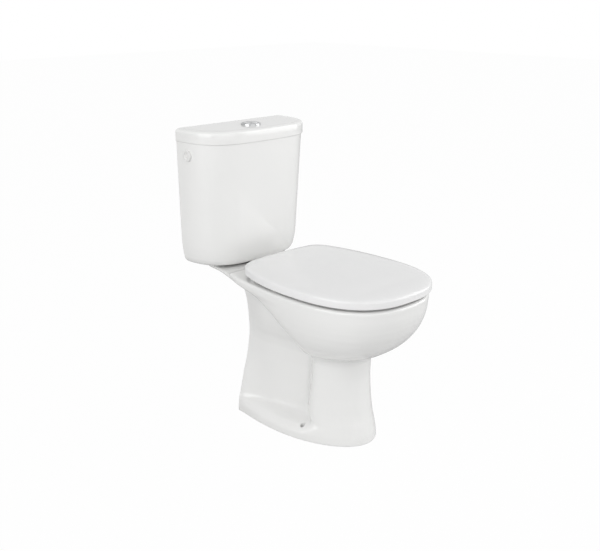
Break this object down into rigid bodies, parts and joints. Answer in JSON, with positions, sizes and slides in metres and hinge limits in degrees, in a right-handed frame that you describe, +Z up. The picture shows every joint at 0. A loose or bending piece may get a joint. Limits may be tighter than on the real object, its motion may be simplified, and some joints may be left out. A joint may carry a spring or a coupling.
{
  "type": "toilet",
  "caption": "Close-coupled floor toilet with a bowl on a waisted foot, a tank with a lid and a split push button, and a hinged seat ring and cover.",
  "frame": {"origin": "on the floor, on the vertical axis of the waste outlet, in the middle plane of the pan", "axes": "+Z up, -Y to the front of the bowl, +Y to the wall behind the tank, +X to the right of someone who faces the front, and -X to the plug side that the picture shows"},
  "size_m": [0.4, 0.6636, 0.786],
  "materials": {
    "ceramic": "glossy white glaze",
    "seat_plastic": "glossy white",
    "white_plastic": "satin white",
    "grey_plastic": "satin grey",
    "chrome": "polished",
    "steel": "bright",
    "black_rubber": "matt black",
    "grey_rubber": "matt light grey"
  },
  "bodies": {
    "toilet": {"pan_foot": "ceramic", "pan_outlet": "ceramic", "pan_waist": "ceramic", "pan_bowl": "ceramic", "pan_rim": "ceramic", "cistern": "ceramic", "cistern_lid": "ceramic", "cistern_gasket": "black_rubber", "coupling_bolts": "steel", "coupling_cone_washers": "black_rubber", "coupling_washers": "steel", "coupling_wing_nuts": "steel", "valve_base": "white_plastic", "valve_base_washer": "black_rubber", "valve_back_nut": "white_plastic", "valve_tower": "white_plastic", "rocker_pins": "steel", "button_bezel": "chrome", "bezel_nut": "white_plastic", "full_button_spring": "steel", "half_button_spring": "steel", "inlet_plug": "white_plastic", "plug_washer": "black_rubber", "plug_nut": "white_plastic", "fill_valve_body": "white_plastic", "fill_valve_washer": "black_rubber", "fill_valve_nut": "white_plastic", "fill_tube": "white_plastic", "float_pin": "steel", "hinge_posts": "seat_plastic", "hinge_pins": "steel", "hinge_bolts": "steel", "hinge_washers": "steel", "hinge_wing_nuts": "steel"},
    "seat": {"seat_ring": "seat_plastic", "seat_buffers": "grey_rubber"},
    "cover": {"seat_cover": "seat_plastic", "cover_buffers": "grey_rubber"},
    "full_button": {"full_flush_button": "chrome", "full_push_rod": "white_plastic"},
    "half_button": {"half_flush_button": "chrome", "half_push_rod": "white_plastic"},
    "full_rocker": {"full_flush_rocker": "grey_plastic"},
    "half_rocker": {"half_flush_rocker": "grey_plastic"},
    "valve_lift": {"valve_stem": "grey_plastic", "valve_seal": "black_rubber"},
    "float": {"float_arm": "grey_plastic", "float_cup": "grey_plastic"},
    "plunger": {"fill_valve_plunger": "steel"}
  },
  "joints": [
    {"name": "seat_hinge", "type": "hinge", "parent": "toilet", "child": "seat", "pos_m": [0, 0.008, 0.43], "axis": [-1, 0, 0], "range_deg": [0, 95]},
    {"name": "cover_hinge", "type": "hinge", "parent": "seat", "child": "cover", "pos_m": [0, 0.008, 0.43], "axis": [1, 0, 0], "range_deg": [-95, 0]},
    {"name": "full_button_slide", "type": "slide", "parent": "toilet", "child": "full_button", "axis": [0, 0, -1], "range_m": [0, 0.005], "stiffness_N_per_m": 700, "springref_m": -0.002, "deforming": ["full_button_spring"]},
    {"name": "half_button_slide", "type": "slide", "parent": "toilet", "child": "half_button", "axis": [0, 0, -1], "range_m": [0, 0.005], "stiffness_N_per_m": 700, "springref_m": -0.002, "deforming": ["half_button_spring"]},
    {"name": "full_rocker_hinge", "type": "hinge", "parent": "toilet", "child": "full_rocker", "pos_m": [-0.018, 0.152, 0.652], "axis": [1, 0, 0], "range_deg": [0, 15.2]},
    {"name": "half_rocker_hinge", "type": "hinge", "parent": "toilet", "child": "half_rocker", "pos_m": [0.018, 0.152, 0.652], "axis": [1, 0, 0], "range_deg": [0, 15.2]},
    {"name": "valve_lift_slide", "type": "slide", "parent": "toilet", "child": "valve_lift", "axis": [0, 0, 1], "range_m": [0, 0.0066]},
    {"name": "float_hinge", "type": "hinge", "parent": "toilet", "child": "float", "pos_m": [0.134, 0.176, 0.731], "axis": [0, 1, 0], "range_deg": [0, 20]},
    {"name": "plunger_slide", "type": "slide", "parent": "toilet", "child": "plunger", "axis": [0, 0, 1], "range_m": [0, 0.0017]}
  ],
  "couplings": [
    {"joint": "full_rocker_hinge", "follows": "full_button_slide", "rad_per_m": 52.3},
    {"joint": "valve_lift_slide", "follows": "full_button_slide", "ratio": 1.3},
    {"joint": "half_rocker_hinge", "follows": "half_button_slide", "rad_per_m": 52.3},
    {"joint": "plunger_slide", "follows": "float_hinge", "m_per_rad": 0.00458}
  ]
}
